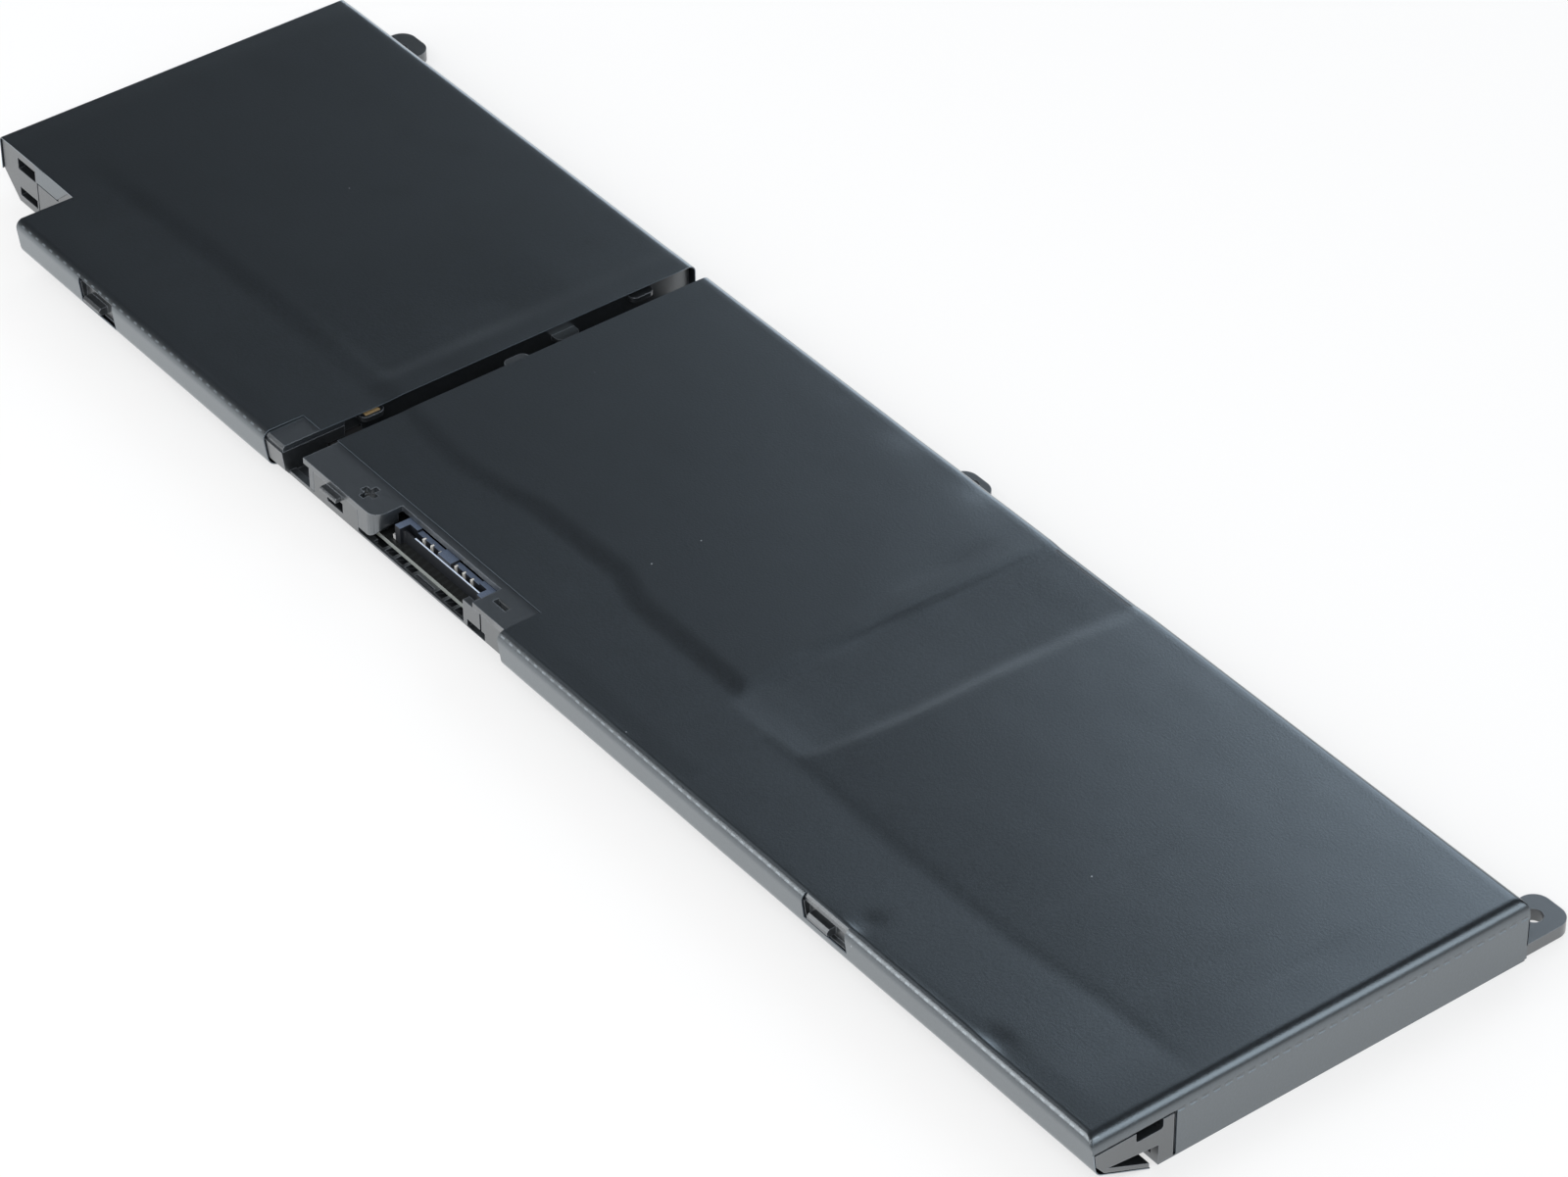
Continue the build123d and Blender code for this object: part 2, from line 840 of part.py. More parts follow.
def film_wrap(x0, x1, dishes):
    outer = film_body(x0, x1, 0) - dishes(0)
    inner = film_body(x0, x1, film_thick) - dishes(film_thick)
    wrap = (outer - inner) & block(x0, x1, -over, total_depth, -over, pack_height + over)
    return wrap - block(-over, pack_length + over, slope_end - film_thick, total_depth, -over, back_flap_lift)


def film_left():
    wrap = film_wrap(0, slot_start, left_dishes)
    flap_back = notch_depth - film_thick
    wrap -= block(-over, notch_length, -over, flap_back, -over, pack_height + over)
    wrap -= block(-over, far_inside + far_chamfer, -over, total_depth, -over, far_chamfer + base)
    wrap -= block(slot_start - block_length, slot_start, -over, block_depth, -over, pack_height + over)
    flap = [
        (flap_start, pack_height),
        (flap_start, pack_height - flap_height),
        (flap_start + flap_low_length, pack_height - flap_height),
        (flap_start + flap_top_length, pack_height),
    ]
    return wrap + along_y(flap, flap_back, notch_depth) - hook_pocket(hooks[0], window_margin, front_inner)


def film_right():
    wrap = film_wrap(slot_end, pack_length, right_dishes)
    wrap -= block(slot_start, bay_end, -over, film_cut, -over, pack_height + over)
    y1 = corner_bare + corner_groove
    shoulder = pack_height - near_shoulder
    inside = extrude(Plane.YZ.offset(right_cover_end) * film_section(film_thick), near_shoulder + over)
    wrap -= inside & block(right_cover_end, pack_length + over, -over, y1, -over, shoulder)
    wrap += block(near_inside + film_slack, pack_length, y1, pack_depth - film_thick, base, back_flap_lift)
    return wrap - hook_pocket(hooks[1], window_margin, front_inner)


def bottom_film():
    return block(far_inside + far_chamfer, pack_length, corner_notch_end, back_inside, 0, base)


pieces = {
    "main_frame": main_frame(),
    "left_channel_cover": left_channel_cover(),
    "connector_cover": connector_cover(),
    "circuit_board": circuit_board(),
    "connector_housing": connector_housing(),
    "connector_contacts": connector_contacts(),
    "connector_hold_downs": hold_downs(),
    **board_packages(),
    "weld_pads": weld_pads(),
    "left_link": link("left", "middle"),
    "right_link": link("middle", "right"),
    "positive_strip": positive_strip(),
    "negative_strip": negative_strip(),
    "temperature_sensor": temperature_sensor(),
    "slot_tape": slot_tape(),
    "edge_tape": edge_tape(),
    "film_left": film_left(),
    "film_right": film_right(),
    "bottom_film": bottom_film(),
}
for name in bay_starts:
    pieces["cell_" + name] = cell(name)
    pieces["positive_tab_" + name] = cell_tab(name, 0)
    pieces["negative_tab_" + name] = cell_tab(name, 1)
    pieces["adhesive_pad_" + name] = adhesive_pad(name)

to_origin = Pos(-pack_length / 2, -total_depth / 2, 0)
os.makedirs("parts", exist_ok=True)
for name, piece in pieces.items():
    solids = piece if isinstance(piece, list) else piece.solids()
    moved = Compound(children=[to_origin * solid for solid in solids])
    export_step(moved, "parts/" + name + ".step")
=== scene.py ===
import json
from math import atan2, ceil, cos, exp, pi, radians, sin, tan
import bpy
from mathutils import Matrix, Quaternion, Vector, noise


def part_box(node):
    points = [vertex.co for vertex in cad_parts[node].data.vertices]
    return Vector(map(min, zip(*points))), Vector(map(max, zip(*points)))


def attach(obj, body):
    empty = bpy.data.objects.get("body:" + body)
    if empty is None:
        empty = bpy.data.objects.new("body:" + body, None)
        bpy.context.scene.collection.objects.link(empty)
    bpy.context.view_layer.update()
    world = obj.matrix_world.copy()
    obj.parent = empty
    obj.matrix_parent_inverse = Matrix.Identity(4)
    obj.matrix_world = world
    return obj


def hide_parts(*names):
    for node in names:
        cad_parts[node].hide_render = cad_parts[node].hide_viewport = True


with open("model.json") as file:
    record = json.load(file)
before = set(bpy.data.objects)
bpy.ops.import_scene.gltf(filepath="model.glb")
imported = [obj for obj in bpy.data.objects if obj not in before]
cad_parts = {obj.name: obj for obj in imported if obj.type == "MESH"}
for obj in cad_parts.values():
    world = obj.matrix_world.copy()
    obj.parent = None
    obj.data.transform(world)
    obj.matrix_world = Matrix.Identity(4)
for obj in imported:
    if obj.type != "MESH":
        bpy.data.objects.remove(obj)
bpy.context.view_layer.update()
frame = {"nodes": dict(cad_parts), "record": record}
nodes = frame["nodes"]
mm = 0.001
packOrigin = (141.0, 42.6)  # pack corner to the frame's origin, in mm
print("frame loaded:", len(nodes), "CAD nodes")


def inFrame(x, y, z):
    return Vector((x - packOrigin[0], y - packOrigin[1], z)) * mm


def step(low, high, value):
    t = min(max((value - low) / (high - low), 0), 1)
    return t * t * (3 - 2 * t)


def along(points, x):  # height of a bent line at x
    for (x0, y0), (x1, y1) in zip(points, points[1:]):
        if x <= x1:
            return y0 + (y1 - y0) * max(x - x0, 0) / (x1 - x0)
    return points[-1][1]


def spread(stops, gap):  # evenly divided stretches that keep every stop
    places = [stops[0]]
    for start, end in zip(stops, stops[1:]):
        count = max(ceil(abs(end - start) / gap - 0.01), 1)
        places += [start + (end - start) * k / count for k in range(1, count + 1)]
    return places


def corner(before, point, after, radius, count):  # points of a rounded fold
    before, point, after = Vector(before), Vector(point), Vector(after)
    u = (before - point).normalized()
    v = (after - point).normalized()
    half = u.angle(v) / 2
    centre = point + (u + v).normalized() * radius / sin(half)
    start = point + u * radius / tan(half) - centre
    end = point + v * radius / tan(half) - centre
    first = atan2(start.y, start.x)
    turn = (atan2(end.y, end.x) - first + pi) % (2 * pi) - pi
    angles = [first + turn * k / count for k in range(count + 1)]
    return [(centre.x + radius * cos(a), centre.y + radius * sin(a)) for a in angles]


def pickOnly(obj):
    bpy.ops.object.select_all(action="DESELECT")
    bpy.context.view_layer.objects.active = obj
    obj.select_set(True)


def selectFaces(obj, wanted):  # leaves the object in edit mode
    pickOnly(obj)
    bpy.ops.object.mode_set(mode="EDIT")
    bpy.ops.mesh.select_all(action="DESELECT")
    bpy.ops.object.mode_set(mode="OBJECT")
    for face in obj.data.polygons:
        face.select = wanted(face)
    bpy.ops.object.mode_set(mode="EDIT")
    bpy.ops.mesh.select_mode(type="FACE")


def applyModifier(obj, name, kind, **values):
    modifier = obj.modifiers.new(name, kind)
    for key, value in values.items():
        setattr(modifier, key, value)
    bpy.context.view_layer.objects.active = obj
    bpy.ops.object.modifier_apply(modifier=modifier.name)


# Shader groups

def newGroup(name, inputs, outputs):
    group = bpy.data.node_groups.new(name, "ShaderNodeTree")
    for label, kind, value in inputs:
        socket = group.interface.new_socket(label, in_out="INPUT", socket_type=kind)
        socket.default_value = value
    for label, kind in outputs:
        group.interface.new_socket(label, in_out="OUTPUT", socket_type=kind)
    return group, group.nodes.new("NodeGroupInput"), group.nodes.new("NodeGroupOutput")


def addNode(tree, kind, links=None, **values):  # inputs are linked or set by name or number
    node = tree.nodes.new(kind)
    for key, value in values.items():
        setattr(node, key, value)
    for key, value in (links or {}).items():
        if isinstance(value, bpy.types.NodeSocket):
            tree.links.new(value, node.inputs[key])
        else:
            node.inputs[key].default_value = value
    return node


def math(tree, operation, first, second=0.0, clamp=False):
    links = {0: first, 1: second}
    return addNode(tree, "ShaderNodeMath", links, operation=operation, use_clamp=clamp).outputs[0]


def times(tree, first, second, clamp=False):
    return math(tree, "MULTIPLY", first, second, clamp)


def objectPlace(tree):
    return addNode(tree, "ShaderNodeTexCoord").outputs["Object"]


def noiseAt(tree, place, scale, detail):
    links = {"Vector": place, "Scale": scale, "Detail": detail}
    return addNode(tree, "ShaderNodeTexNoise", links).outputs[0]


grainBlend = {
    "fineShare": 0.9,
    "wideShare": 0.1,
    "wideScale": 0.07,
    "fineDetail": 3.0,
    "wideDetail": 4.0,
    "limits": (0.33, 0.67),
}


def grainGroup(s):  # fine two-scale grain, as height and as a shade around 1
    floatKind = "NodeSocketFloat"
    group, into, out = newGroup(
        "fineGrain",
        [("Scale", floatKind, 2500.0), ("Shade", floatKind, 0.1)],
        [("Height", floatKind), ("Shade", floatKind)],
    )
    place = objectPlace(group)
    low, high = s["limits"]
    fine = noiseAt(group, place, into.outputs["Scale"], s["fineDetail"])
    wideScale = times(group, into.outputs["Scale"], s["wideScale"])
    wide = noiseAt(group, place, wideScale, s["wideDetail"])
    both = math(group, "ADD", times(group, fine, s["fineShare"]), times(group, wide, s["wideShare"]))
    both = math(group, "MINIMUM", math(group, "MAXIMUM", both, low), high)
    group.links.new(both, out.inputs["Height"])
    swing = times(group, math(group, "SUBTRACT", both, 0.5), into.outputs["Shade"])
    group.links.new(math(group, "ADD", swing, 1.0), out.inputs["Shade"])
    return group


def dustGroup():  # sparse pale specks
    floatKind = "NodeSocketFloat"
    group, into, out = newGroup(
        "dustSpecks",
        [("Scale", floatKind, 160.0), ("Size", floatKind, 0.03), ("Share", floatKind, 0.2)],
        [("Mask", floatKind)],
    )
    place = objectPlace(group)
    cells = addNode(group, "ShaderNodeTexVoronoi", {"Vector": place, "Scale": into.outputs["Scale"]})
    near = math(group, "LESS_THAN", cells.outputs["Distance"], into.outputs["Size"])
    pick = addNode(group, "ShaderNodeSeparateColor", {0: cells.outputs["Color"]})
    kept = math(group, "LESS_THAN", pick.outputs[0], into.outputs["Share"])
    group.links.new(times(group, near, kept), out.inputs["Mask"])
    return group


def edgeGroup():  # rounded normal, and a mask of the outer edges where a painted highlight goes
    floatKind = "NodeSocketFloat"
    group, into, out = newGroup(
        "softEdges",
        [("Radius", floatKind, 0.0002), ("Width", floatKind, 0.0003)],
        [("Normal", "NodeSocketVector"), ("Mask", floatKind)],
    )
    rounded = addNode(group, "ShaderNodeBevel", {"Radius": into.outputs["Radius"]}, samples=4)
    group.links.new(rounded.outputs[0], out.inputs["Normal"])
    wide = addNode(group, "ShaderNodeBevel", {"Radius": into.outputs["Width"]}, samples=4)
    flat = addNode(group, "ShaderNodeNewGeometry").outputs["Normal"]
    both = {0: wide.outputs[0], 1: flat}
    match = addNode(group, "ShaderNodeVectorMath", both, operation="DOT_PRODUCT").outputs["Value"]
    gain = 4.0  # how soon a bent normal counts as fully inside the painted edge highlight
    mask = times(group, math(group, "SUBTRACT", 1.0, match), gain, clamp=True)
    group.links.new(mask, out.inputs["Mask"])
    return group


grainNodes = grainGroup(grainBlend)
dustNodes = dustGroup()
edgeNodes = edgeGroup()
print("shader groups built")


# Materials

def blank(name):
    material = bpy.data.materials.new(name)
    material.use_nodes = True
    tree = material.node_tree
    return material, tree, tree.nodes["Principled BSDF"]


def useGroup(tree, group, **values):
    node = tree.nodes.new("ShaderNodeGroup")
    node.node_tree = group
    for key, value in values.items():
        node.inputs[key].default_value = value
    return node


def tinted(tree, colour, shade):  # a colour times a shade that varies over the surface
    return addNode(
        tree,
        "ShaderNodeMix",
        {"Factor": 1.0, 6: (*colour, 1), 7: shade},
        data_type="RGBA",
        blend_type="MULTIPLY",
    ).outputs[2]


def mix(tree, mask, under, upper):
    links = {"Factor": mask, 6: under, 7: upper}
    return addNode(tree, "ShaderNodeMix", links, data_type="RGBA").outputs[2]


def over(tree, mask, under, colour):
    return mix(tree, mask, under, (*colour, 1))


def axes(tree, vector):
    return addNode(tree, "ShaderNodeSeparateXYZ", {0: vector}).outputs


def upward(tree):  # how far the surface faces up
    return axes(tree, addNode(tree, "ShaderNodeNewGeometry").outputs["Normal"])["Z"]


def dashes(tree, value, pitch, share):  # 1 over the first share of every pitch
    return math(tree, "LESS_THAN", math(tree, "FRACT", math(tree, "DIVIDE", value, pitch)), share)


def addBump(tree, shader, links):
    tree.links.new(addNode(tree, "ShaderNodeBump", links).outputs[0], shader.inputs["Normal"])


def band(tree, value, centre, half):  # 1 inside a strip around centre
    return math(tree, "LESS_THAN", math(tree, "ABSOLUTE", math(tree, "SUBTRACT", value, centre)), half)


filmFinish = {
    "colour": (0.0085, 0.0105, 0.013),
    "rough": 0.29,
    "coatRough": 0.31,
    "ior": 1.75,
    "sheen": (0.9, 0.96, 1.0, 1),
    "coat": 0.8,
    "grain": 2800.0,
    "grainShade": 4.0,
    "grainDepth": 0.00002,
    "dust": (0.42, 0.44, 0.46),
    "dustScale": 210.0,
    "dustSize": 0.026,
    "dustShare": 0.22,
    # painted highlight on the sheet's cut edges
    "cutEdgeHighlight": (0.13, 0.15, 0.175),
    "slitPitch": 0.002,
    "slitShare": 0.6,
    "slitHalf": 0.00035,
    "slitDepth": 15.0,  # as a multiple of the grain
    "endFold": (0.141, 0.0078),  # x, z
    "endReach": 0.0006,
    "crease": (-0.0406, 0.0099),  # y, z
    "creaseHalf": 0.00011,
    "nickShare": 0.4,
    "creaseColour": (0.11, 0.12, 0.13),
}


def filmMaterial(s):
    material, tree, shader = blank("skinFilm")
    shader.inputs["IOR"].default_value = s["ior"]
    shader.inputs["Specular IOR Level"].default_value = 1.0
    shader.inputs["Specular Tint"].default_value = s["sheen"]
    shader.inputs["Coat Weight"].default_value = s["coat"]
    shader.inputs["Coat Roughness"].default_value = s["coatRough"]
    shader.inputs["Coat Tint"].default_value = s["sheen"]
    xyz = axes(tree, objectPlace(tree))
    grain = useGroup(tree, grainNodes, Scale=s["grain"], Shade=s["grainShade"])
    colour = tinted(tree, s["colour"], grain.outputs["Shade"])
    specks = {"Scale": s["dustScale"], "Size": s["dustSize"], "Share": s["dustShare"]}
    dust = useGroup(tree, dustNodes, **specks)
    colour = over(tree, dust.outputs["Mask"], colour, s["dust"])
    # pale nicks of the perforated front crease
    frontY, creaseZ = s["crease"]
    atFront = math(tree, "LESS_THAN", xyz["Y"], frontY)
    nick = times(tree, atFront, dashes(tree, xyz["X"], s["slitPitch"], s["nickShare"]))
    nick = times(tree, nick, band(tree, xyz["Z"], creaseZ, s["creaseHalf"]))
    colour = over(tree, nick, colour, s["creaseColour"])
    # the cut edges of the sheet get a painted highlight, paler than the film
    cut = addNode(tree, "ShaderNodeAttribute", attribute_name="cutEdgeHighlight").outputs["Fac"]
    colour = over(tree, cut, colour, s["cutEdgeHighlight"])
    # slits of the near end's fold, as grooves
    endX, foldZ = s["endFold"]
    atEnd = math(tree, "GREATER_THAN", xyz["X"], endX - s["endReach"])
    dash = dashes(tree, xyz["Y"], s["slitPitch"], s["slitShare"])
    away = math(tree, "ABSOLUTE", math(tree, "SUBTRACT", xyz["Z"], foldZ))
    groove = math(tree, "SUBTRACT", 1.0, math(tree, "DIVIDE", away, s["slitHalf"]), clamp=True)
    slit = times(tree, times(tree, atEnd, dash), groove)
    tree.links.new(colour, shader.inputs["Base Color"])
    shader.inputs["Roughness"].default_value = s["rough"]
    height = math(tree, "SUBTRACT", grain.outputs["Height"], times(tree, slit, s["slitDepth"]))
    addBump(tree, shader, {"Height": height, "Distance": s["grainDepth"], "Strength": 1.0})
    return material


mouldedShared = {
    "sheen": (0.9, 0.96, 1.0, 1),
    "coatRough": 0.34,
    "edgeRadius": 0.00016,
    "edgeWidth": 0.00026,
    "edgeHighlightShare": 0.75,
    "roughSwing": 0.3,
    "grainDepth": 0.00001,
    "markLow": 0.0097,  # the marks' floors lie below this
    "markFacing": 0.6,
    # painted shade on the floors of the marks
    "markFloorShade": (0.002, 0.002, 0.002),
}
# colour, painted highlight on the outer edges, roughness, grain, shade of the grain, index of
# refraction, shine, coat
mouldedFinishes = {
    "tray_plastic": ((0.0105, 0.012, 0.014), (0.2, 0.22, 0.25), 0.34, 3200.0, 1.5, 1.68, 1.0, 0.8),
    "cover_plastic": ((0.018, 0.022, 0.027), (0.17, 0.195, 0.225), 0.36, 2800.0, 1.2, 1.72, 1.0, 0.8),
    "component_black": ((0.014, 0.014, 0.015), (0.05, 0.05, 0.05), 0.4, 5000.0, 0.5, 1.5, 0.5, 0.0),
    "component_ceramic": ((0.58, 0.56, 0.51), (0.7, 0.69, 0.66), 0.4, 5000.0, 0.4, 1.5, 0.5, 0.0),
    "black_tape": ((0.026, 0.026, 0.027), (0.05, 0.05, 0.05), 0.5, 2000.0, 0.6, 1.5, 0.5, 0.0),
    "adhesive": ((0.78, 0.78, 0.75), (0.82, 0.82, 0.8), 0.6, 2600.0, 0.3, 1.5, 0.5, 0.0),
}


def mouldedMaterial(name, finish, s):
    plain, paintedEdgeHighlight, rough, fineness, depth, index, shine, coat = finish
    material, tree, shader = blank(name)
    shader.inputs["IOR"].default_value = index
    shader.inputs["Specular IOR Level"].default_value = shine
    shader.inputs["Specular Tint"].default_value = s["sheen"]
    shader.inputs["Coat Weight"].default_value = coat
    shader.inputs["Coat Roughness"].default_value = s["coatRough"]
    grain = useGroup(tree, grainNodes, Scale=fineness, Shade=depth)
    edges = useGroup(tree, edgeNodes, Radius=s["edgeRadius"], Width=s["edgeWidth"])
    colour = tinted(tree, plain, grain.outputs["Shade"])
    # outer edges get a painted highlight, paler than the plastic
    colour = over(tree, times(tree, edges.outputs["Mask"], s["edgeHighlightShare"]), colour, paintedEdgeHighlight)
    if name == "cover_plastic":  # the floors of the marks get painted shade, near black
        low = math(tree, "LESS_THAN", axes(tree, objectPlace(tree))["Z"], s["markLow"])
        flat = math(tree, "GREATER_THAN", upward(tree), s["markFacing"])
        colour = over(tree, times(tree, low, flat), colour, s["markFloorShade"])
    tree.links.new(colour, shader.inputs["Base Color"])
    swing = times(tree, math(tree, "SUBTRACT", grain.outputs["Height"], 0.5), s["roughSwing"])
    tree.links.new(math(tree, "ADD", swing, rough), shader.inputs["Roughness"])
    height, rounded = grain.outputs["Height"], edges.outputs["Normal"]
    addBump(tree, shader, {"Height": height, "Distance": s["grainDepth"], "Normal": rounded})
    return material


connectorFinish = {
    "body": (0.011, 0.013, 0.017),
    # painted highlight colours of the rim top and of the front plate
    "rim": (0.1, 0.13, 0.19),
    "plate": (0.66, 0.76, 0.92),
    "rimLow": 0.00805,
    "plateLow": 0.0078,
    "plateStart": -0.0181,
    "facing": 0.6,
    "rough": 0.4,
    "grain": 4200.0,
    "grainShade": 1.0,
    "grainDepth": 0.00001,
}


def connectorMaterial(s):  # black body; painted highlight, pale blue, on the upward faces at the top of the rim and of the thin front plate
    material, tree, shader = blank("connectorPlastic")
    shader.inputs["Roughness"].default_value = s["rough"]
    xyz = axes(tree, objectPlace(tree))
    facing = math(tree, "GREATER_THAN", upward(tree), s["facing"])
    grain = useGroup(tree, grainNodes, Scale=s["grain"], Shade=s["grainShade"])
    colour = tinted(tree, s["body"], grain.outputs["Shade"])
    # painted highlight: upward faces of the thin front plate, pale blue
    plate = times(tree, facing, math(tree, "GREATER_THAN", xyz["Z"], s["plateLow"]))
    plate = times(tree, plate, math(tree, "GREATER_THAN", xyz["X"], s["plateStart"]))
    colour = over(tree, plate, colour, s["plate"])
    # painted highlight: upward faces at the top of the rim, grey-blue
    rim = times(tree, facing, math(tree, "GREATER_THAN", xyz["Z"], s["rimLow"]))
    colour = mix(tree, rim, colour, tinted(tree, s["rim"], grain.outputs["Shade"]))
    tree.links.new(colour, shader.inputs["Base Color"])
    addBump(tree, shader, {"Height": grain.outputs["Height"], "Distance": s["grainDepth"]})
    return material


metalShared = {
    "streakDetail": 4.0,
    "shadeLow": 0.85,
    "shadeSwing": 0.3,
    "roughSwing": 0.2,
    "streakDepth": 0.000008,
}
metalFinishes = {  # colour, roughness, share of metal, closeness of the streaks along each axis
    "contact_metal": ((0.98, 0.97, 0.93), 0.5, 0.35, (900.0, 900.0, 9000.0)),
    "tinned_metal": ((0.88, 0.88, 0.87), 0.35, 0.5, (3000.0, 3000.0, 3000.0)),
    "nickel": ((0.68, 0.66, 0.62), 0.32, 1.0, (200.0, 6000.0, 6000.0)),
    "tab_aluminium": ((0.79, 0.80, 0.81), 0.34, 1.0, (6000.0, 200.0, 6000.0)),
    "pouch": ((0.62, 0.63, 0.65), 0.36, 1.0, (700.0, 700.0, 700.0)),
}


def metalMaterial(name, finish, s):
    colour, rough, metal, brush = finish
    material, tree, shader = blank(name)
    stretched = addNode(tree, "ShaderNodeMapping", {"Vector": objectPlace(tree), "Scale": brush})
    streaks = noiseAt(tree, stretched.outputs[0], 1.0, s["streakDetail"])
    shade = math(tree, "ADD", times(tree, streaks, s["shadeSwing"]), s["shadeLow"])
    tree.links.new(tinted(tree, colour, shade), shader.inputs["Base Color"])
    shader.inputs["Metallic"].default_value = metal
    swing = times(tree, streaks, s["roughSwing"])
    roughness = math(tree, "ADD", swing, rough - s["roughSwing"] / 2)
    tree.links.new(roughness, shader.inputs["Roughness"])
    addBump(tree, shader, {"Height": streaks, "Distance": s["streakDepth"]})
    return material


boardFinish = {
    "mask": (0.012, 0.013, 0.013),
    "trace": (0.017, 0.019, 0.019),
    "core": (0.3, 0.325, 0.31),
    "tracePitch": 0.0013,
    "traceShare": 0.3,
    "traceDepth": 0.00002,
    "bendScale": 120.0,
    "bend": 3.0,  # how far the traces wander, in pitches
    "grain": 5200.0,
    "grainShade": 0.8,
    "sideFacing": 0.5,
    "rough": 0.25,
    "sideRough": 0.3,  # added on the sawn sides
}


def boardMaterial(s):
    material, tree, shader = blank("boardLaminate")
    place = objectPlace(tree)
    bend = times(tree, noiseAt(tree, place, s["bendScale"], 1.0), s["bend"])
    run = math(tree, "ADD", math(tree, "DIVIDE", axes(tree, place)["X"], s["tracePitch"]), bend)
    trace = math(tree, "LESS_THAN", math(tree, "FRACT", run), s["traceShare"])
    colour = over(tree, trace, (*s["mask"], 1), s["trace"])
    grain = useGroup(tree, grainNodes, Scale=s["grain"], Shade=s["grainShade"])
    side = math(tree, "LESS_THAN", math(tree, "ABSOLUTE", upward(tree)), s["sideFacing"])
    colour = mix(tree, side, colour, tinted(tree, s["core"], grain.outputs["Shade"]))
    tree.links.new(colour, shader.inputs["Base Color"])
    roughness = math(tree, "ADD", times(tree, side, s["sideRough"]), s["rough"])
    tree.links.new(roughness, shader.inputs["Roughness"])
    addBump(tree, shader, {"Height": trace, "Distance": s["traceDepth"]})
    return material


amberFinish = {
    "colour": (0.34, 0.24, 0.12),
    "rough": 0.5,  # times the grain
    "grain": 1500.0,
    "grainShade": 0.5,
    "grainDepth": 0.00002,
}


def amberMaterial(s):
    material, tree, shader = blank("amberTape")
    grain = useGroup(tree, grainNodes, Scale=s["grain"], Shade=s["grainShade"])
    colour = tinted(tree, s["colour"], grain.outputs["Shade"])
    tree.links.new(colour, shader.inputs["Base Color"])
    roughness = times(tree, grain.outputs["Height"], s["rough"])
    tree.links.new(roughness, shader.inputs["Roughness"])
    addBump(tree, shader, {"Height": grain.outputs["Height"], "Distance": s["grainDepth"]})
    return material


finishes = {
    "film": filmMaterial(filmFinish),
    "board": boardMaterial(boardFinish),
    "connector_plastic": connectorMaterial(connectorFinish),
    "amber_tape": amberMaterial(amberFinish),
}
for name, finish in mouldedFinishes.items():
    finishes[name] = mouldedMaterial(name, finish, mouldedShared)
for name, finish in metalFinishes.items():
    finishes[name] = metalMaterial(name, finish, metalShared)
for part in frame["record"]["subparts"]:
    data = nodes[part["node"]].data
    data.materials.clear()
    data.materials.append(finishes[part["material_slot"]])
print("materials assigned:", len(finishes))


def finishPiece(piece, slotName, *replaced):
    piece.data.materials.clear()
    piece.data.materials.append(finishes[slotName])
    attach(piece, "root")
    if replaced:
        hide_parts(*replaced)


# Skin film: one sheet for each half, folded round the section and the pack's end

filmShape = {
    "height": 10.4,
    "depth": 76.2,
    "thick": 0.15,
    "cell": 0.9,
    "noseLow": (0.8, 4.2),
    "slopeEnd": (10.1, 0.1),
    "noseRound": 1.4,
    "slopeRound": 2.0,
    "backRound": 1.3,
    "backLow": 2.6,
    "foldSteps": 8,
    "backSteps": 7,
    "noseCell": 0.5,
    "flapCell": 1.0,
    "wobble": {"upTo": 3, "depth": 0.12, "fine": (0.06, 0.05), "level": 1.7},
    "weld": 0.02,
    "smooth": 40,
}
leftHalf = {
    "start": 0.0,
    "end": 95.5,
    "fold": 1.0,
    "flapLow": 4.25,
    "flapFrom": 10.65,
    "stopsX": (21.7, 39.7, 49.1, 90.8),
    "stopsY": (7.4, 10.65),
    "stopsZ": (9.6, 4.8),
    "gone": (  # x, y and z from and to, the last one open where it is left out
        (-1, 21.7, -1, 10.65, -1),
        (90.8, 96, -1, 7.4, -1),
        (39.7, 49.1, -1, 2.2, 4.8, 9.6),
    ),
}
rightHalf = {
    "start": 99.1,
    "end": 282.0,
    "fold": 2.4,
    "flapLow": 0.25,
    "flapFrom": 14.5,
    "stopsX": (150.5, 221.0, 230.4),
    "stopsY": (7.9, 14.5),
    "stopsZ": (9.95, 6.0),
    "gone": ((99, 150.5, -1, 7.9, -1), (221.0, 230.4, -1, 2.2, 6.0, 10.3)),
}
